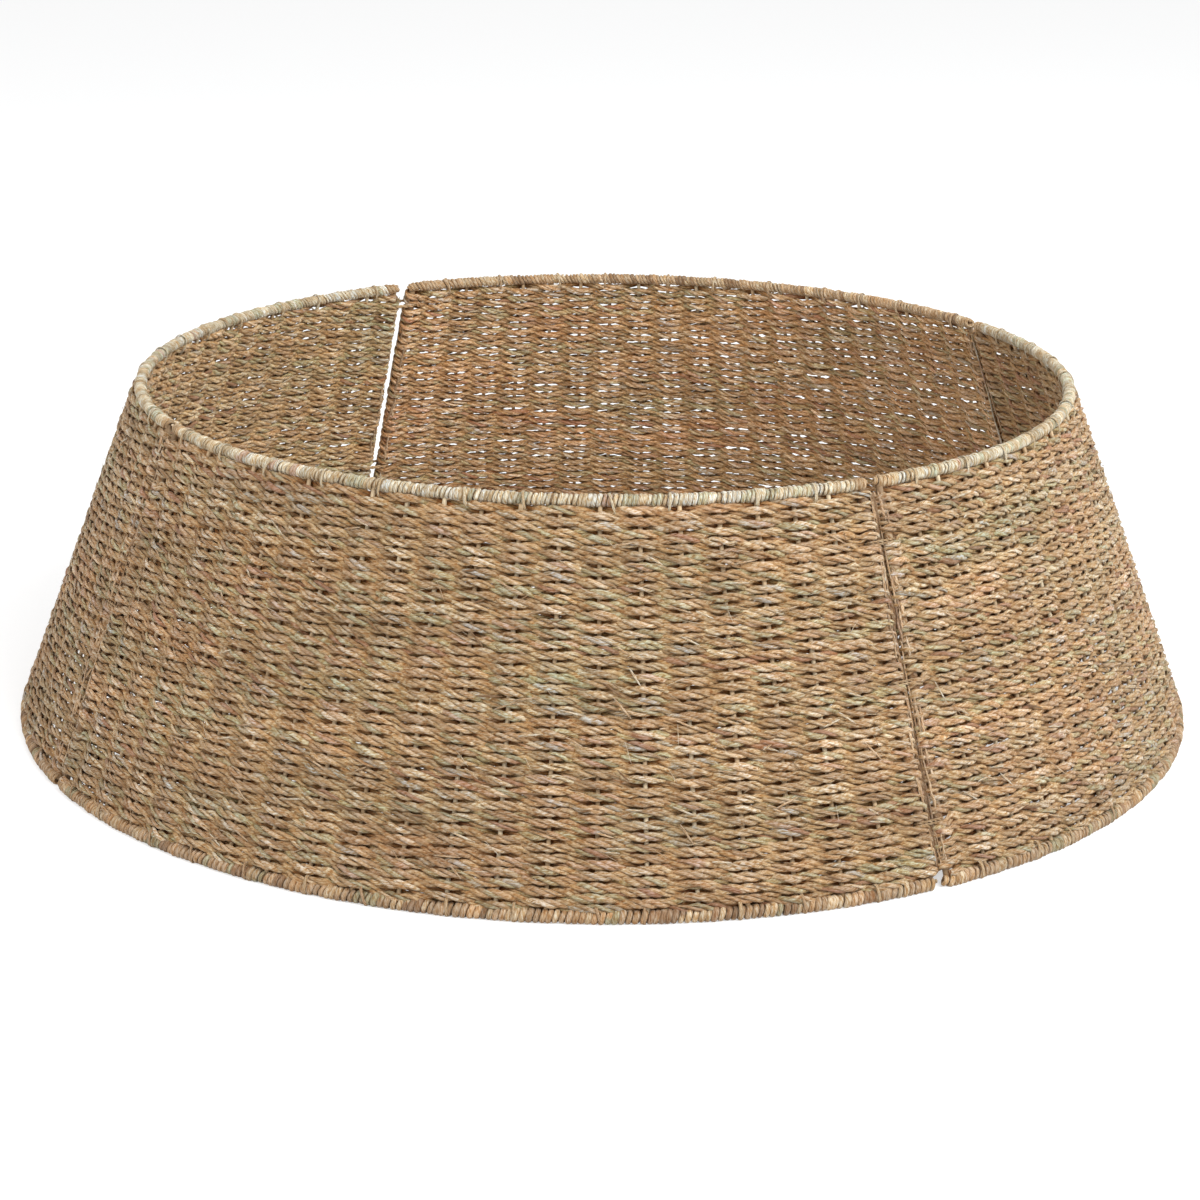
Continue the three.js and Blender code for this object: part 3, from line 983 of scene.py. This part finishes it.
# Blades over the turns: one a spacing, clear of the loops, in lanes across the round edge
EDGE_SPACING = 8 * MM
EDGE_BREAK = 2.0 * MM
EDGE_LENGTHS = (6 * MM, 20 * MM)
EDGE_LANES = (0.4 * MM, 4.2 * MM)
EDGE_LIFT = 4.15 * MM
EDGE_REACH = 5.1 * MM
LOWEST_BOW = 0.05
EDGE_STEP = 1 * MM
EDGE_SIDES = 6
EDGE_HALF_WIDE = 0.75 * MM
EDGE_HALF_THICK = 0.4 * MM
EDGE_LEAN = 0.05
EDGE_SWAY = (5, 0.2 * MM)
EDGE_LIFT_SWAY = (5, 0.25 * MM)
EDGE_SWELL = (6, 0.2)
EDGE_SWELL_LIMITS = (0.5, 1.5)
EDGE_SCALES = (0.6, 1.2)
EDGE_TAPER = 4 * MM
EDGE_TIP = 0.2
EDGE_BLADES = (15 * MM, 70 * MM)
EDGE_SPREAD = 0.14


def edge_piece(panel, material, rng):
    """Short blades laid up both side edges of a panel, over the turns of the rope, between the loops."""
    strands = Strands()
    lining = np.linspace(EDGE_FOOT, SLANT_LENGTH - EDGE_FOOT, LINING_POINTS)
    for seam, share, ahead in ((panel.start, 0.0, -1), (panel.end, 1.0, 1)):
        path = wall_point(panel, lining, np.full(len(lining), share), 0.0)
        normal, _ = wall_axes(panel, lining, np.full(len(lining), share))
        radius = np.clip(1 + wander(rng, len(lining), *LINING_SWELL), *LINING_SWELL_LIMITS) * LINING_RADIUS
        rings = tube(path, normal, radius, radius, LINING_SIDES)
        strands.add(rings, blade_colours(rng, CORE_WITH_PAINTED_SHADE, distances(path), LINING_BLADES, LINING_SPREAD))
        loops = [loop * SLANT_LENGTH for loop in seam.shares.values()]
        feet = [EDGE_FOOT] + [loop + EDGE_BREAK for loop in loops]
        heads = [loop - EDGE_BREAK for loop in loops] + [SLANT_LENGTH - EDGE_HEAD]
        for foot, head in zip(feet, heads):
            for side in (1, -1):
                for _ in range(round((head - foot) / EDGE_SPACING)):
                    length = min(rng.uniform(*EDGE_LENGTHS), head - foot)
                    start = foot + rng.random() * (head - foot - length)
                    lane = ahead * rng.uniform(*EDGE_LANES)
                    edge_blade(strands, panel, start, length, share, lane, side, rng)
    dress(strands.build(f"{panel.name}_edge_blades", material), panel)


def edge_blade(strands, panel, start, length, share, lane, side, rng):
    """One blade up a side edge: lane is its place past the side rod, side its face of the wall."""
    count = int(length / EDGE_STEP) + 2
    along = np.linspace(start, start + length, count)
    past = lane + rng.normal(0, EDGE_LEAN) * (along - start) + wander(rng, count, *EDGE_SWAY)
    bow = np.sqrt(np.clip(1 - (past / EDGE_REACH) ** 2, LOWEST_BOW, 1))
    out = side * (EDGE_LIFT * bow + wander(rng, count, *EDGE_LIFT_SWAY))
    path = wall_point(panel, along, np.full(count, share), out, past)
    middle = wall_point(panel, along, np.full(count, share), 0.0)
    swell = np.clip(1 + wander(rng, count, *EDGE_SWELL), *EDGE_SWELL_LIMITS) * rng.uniform(*EDGE_SCALES)
    taper = np.clip(np.minimum(along - start, start + length - along) / EDGE_TAPER + EDGE_TIP, 0, 1)
    wide, thick = EDGE_HALF_WIDE * swell * taper, EDGE_HALF_THICK * swell * taper
    rings = tube(path, unit(path - middle), wide, thick, EDGE_SIDES)
    strands.add(rings, blade_colours(rng, EDGE, distances(path), EDGE_BLADES, EDGE_SPREAD))


# Strands in the hinge seams

# Palette, place along and into the ring, half width, half thickness
SEAM_STRANDS = (
    (CORE_WITH_PAINTED_SHADE, (0, 0, 0), 2.0 * MM, 1.2 * MM),
    (EDGE, (1.3 * MM, -1.9 * MM, 0), 0.5 * MM, 0.4 * MM),
    (TOP_FIBRE, (0.6 * MM, 3.3 * MM, 0), 0.6 * MM, 0.5 * MM),
)
SEAM_SHARES = (0.035, 0.975)
SEAM_POINTS = 120
SEAM_SIDES = 8
SEAM_SWAY = (12, 0.25 * MM)
SEAM_DEPTH_SWAY = (9, 0.4 * MM)
SEAM_SWELL = (8, 0.2)
SEAM_SWELL_LIMITS = (0.85, 1.4)
SEAM_BLADES = (10 * MM, 50 * MM)
SEAM_SPREAD = 0.16


def seam_core(seam, body, material, rng):
    """A strand that fills the gap of a hinge seam, its dark brown partly painted shade, and a thin light
    one on each face of it.
    """
    (foot, axes), (head, _) = (seam_frame(seam, share) for share in SEAM_SHARES)
    rise = np.linspace(0, 1, SEAM_POINTS)[:, None]
    outward = np.tile(-axes[1], (SEAM_POINTS, 1))
    strands = Strands()
    for palette, place, wide, thick in SEAM_STRANDS:
        sway = wander(rng, SEAM_POINTS, *SEAM_SWAY)
        drift = np.column_stack((sway, wander(rng, SEAM_POINTS, *SEAM_DEPTH_SWAY), np.zeros(SEAM_POINTS)))
        path = foot + (head - foot) * rise + (drift + place) @ axes
        swell = np.clip(1 + wander(rng, SEAM_POINTS, *SEAM_SWELL), *SEAM_SWELL_LIMITS)
        rings = tube(path, outward, wide * swell, thick * swell, SEAM_SIDES)
        strands.add(rings, blade_colours(rng, palette, distances(path), SEAM_BLADES, SEAM_SPREAD))
    piece = strands.build(f"{seam.name}_core", material)
    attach(piece, body)


# Stage, light and camera

FLOOR_SIZE = 30
FLOOR_GREY = (0.64, 0.64, 0.64, 1)
FLOOR_ROUGHNESS = 0.9
FLOOR_GLEAM = 0.1
FLOOR_GLOW = 0.5
WHITE = (1, 1, 1, 1)
SKY_LIGHT = 0.63
DAY_COLOUR = (1, 1, 1)
SKY_COLOUR = (0.85, 0.95, 1.0)

# The camera is fitted to the collar's outline in the photo
CAMERA_LENS = 83.96
CAMERA_SENSOR = 36
CAMERA_SHIFT = -0.0026
CAMERA_PLACE = (0, -1.6164, 0.5878)
CAMERA_TILT = math.radians(71.75)
CAMERA_ROLL = math.radians(0.465)


def stage():
    """White paper floor, with a glow that only the camera and reflections see."""
    bpy.ops.mesh.primitive_plane_add(size=FLOOR_SIZE, location=(0, 0, 0))
    floor = bpy.context.object
    floor.name = "floor"
    material, shader = new_material("floor_paper")
    tree = material.node_tree
    shader.inputs["Base Color"].default_value = FLOOR_GREY
    shader.inputs["Roughness"].default_value = FLOOR_ROUGHNESS
    shader.inputs["Specular IOR Level"].default_value = FLOOR_GLEAM
    rays = tree.nodes.new("ShaderNodeLightPath")
    seen = maths(tree, "MAXIMUM", rays.outputs["Is Camera Ray"], rays.outputs["Is Glossy Ray"])
    tree.links.new(maths(tree, "MULTIPLY", seen, FLOOR_GLOW), shader.inputs["Emission Strength"])
    shader.inputs["Emission Color"].default_value = WHITE
    floor.data.materials.append(material)


def daylight():
    """An even sky, white to the camera and a little dimmer as a light."""
    world = bpy.data.worlds.new("studio")
    bpy.context.scene.world = world
    world.use_nodes = True
    tree = world.node_tree
    tree.nodes.clear()
    soft = tree.nodes.new("ShaderNodeBackground")
    soft.inputs["Color"].default_value = WHITE
    rays = tree.nodes.new("ShaderNodeLightPath")
    level = ramp(tree, rays.outputs["Is Camera Ray"], (0.0, 1.0, SKY_LIGHT, 1.0))
    tree.links.new(level, soft.inputs["Strength"])
    output = tree.nodes.new("ShaderNodeOutputWorld")
    tree.links.new(soft.outputs["Background"], output.inputs["Surface"])


def lamp(name, place, size, watts, colour):
    """A square area lamp aimed at the collar's middle on the floor."""
    light = bpy.data.lights.new(name, "AREA")
    light.energy = watts
    light.size = size
    light.color = colour
    holder = bpy.data.objects.new(name, light)
    bpy.context.scene.collection.objects.link(holder)
    holder.location = place
    aim = -holder.location
    holder.rotation_mode = "QUATERNION"
    holder.rotation_quaternion = aim.to_track_quat("-Z", "Y")


def camera():
    lens = bpy.data.cameras.new("photo_camera")
    lens.lens = CAMERA_LENS
    lens.sensor_width = CAMERA_SENSOR
    lens.shift_x = CAMERA_SHIFT
    holder = bpy.data.objects.new("photo_camera", lens)
    bpy.context.scene.collection.objects.link(holder)
    holder.location = CAMERA_PLACE
    tilt = Euler((CAMERA_TILT, 0, 0)).to_matrix()
    roll = Euler((0, 0, CAMERA_ROLL)).to_matrix()
    holder.rotation_euler = (tilt @ roll).to_euler()
    bpy.context.scene.camera = holder


camera()
stage()
daylight()
lamp("key", (1.3, -1.6, 2.0), 1.2, 45.5, DAY_COLOUR)
lamp("fill", (-1.6, -1.4, 1.4), 1.4, 18.5, DAY_COLOUR)
lamp("side", (2.0, -0.3, 1.6), 1.2, 28, SKY_COLOUR)
bpy.context.scene.view_settings.view_transform = "Standard"

# Build

PANEL_SEED = 100
SEAM_SEED = 7

seagrass = fibre_material("seagrass")
top_fibre = fibre_material("top_fibre", streaks=FINE_STREAKS)
bottom_fibre = fibre_material("bottom_fibre", streaks=FINE_STREAKS)
straw = fibre_material("straw", twist=0.0)
cord = fibre_material("jute_cord", streaks=FINE_STREAKS)
lacquer = wire_material("wire_lacquer")

for number, panel in enumerate(panels):
    rng = np.random.default_rng(PANEL_SEED + number)
    weave_pieces(panel, seagrass, rng)
    edge_piece(panel, seagrass, rng)
    loose_piece(panel, straw, rng)
    frame_piece(panel, lacquer, rng)
    top = REAR_FIBRE if panel.name == "rear" else TOP_FIBRE
    rim_piece(panel, "top_binding", SLANT_LENGTH, TOP_RIM_RADIUS, TOP_PITCH, top, top_fibre, rng)
    rim_piece(
        panel, "bottom_binding", 0.0, BOTTOM_RIM_RADIUS, BOTTOM_PITCH, BOTTOM_FIBRE, bottom_fibre, rng
    )

# The loops of a hinge seam ride on the panel that swings, its strands on the other
carriers = {"front_right": "right_panel", "right_rear": "rear_panel", "front_left": "left_panel"}
parents = {"front_right": "front_panel", "right_rear": "right_panel", "front_left": "front_panel"}
rng = np.random.default_rng(SEAM_SEED)
for seam in seams:
    closing = seam.name == "closing"
    for level in seam.shares:
        if closing:
            loop_piece(seam, level, "tie", "left_panel", TIE_CORD, TIE_TURNS, TIE, cord, rng)
        else:
            body = carriers[seam.name]
            loop_piece(seam, level, "lashing", body, LASHING_CORD, LASHING_TURNS, CORD, cord, rng)
    if not closing:
        seam_core(seam, parents[seam.name], cord, rng)
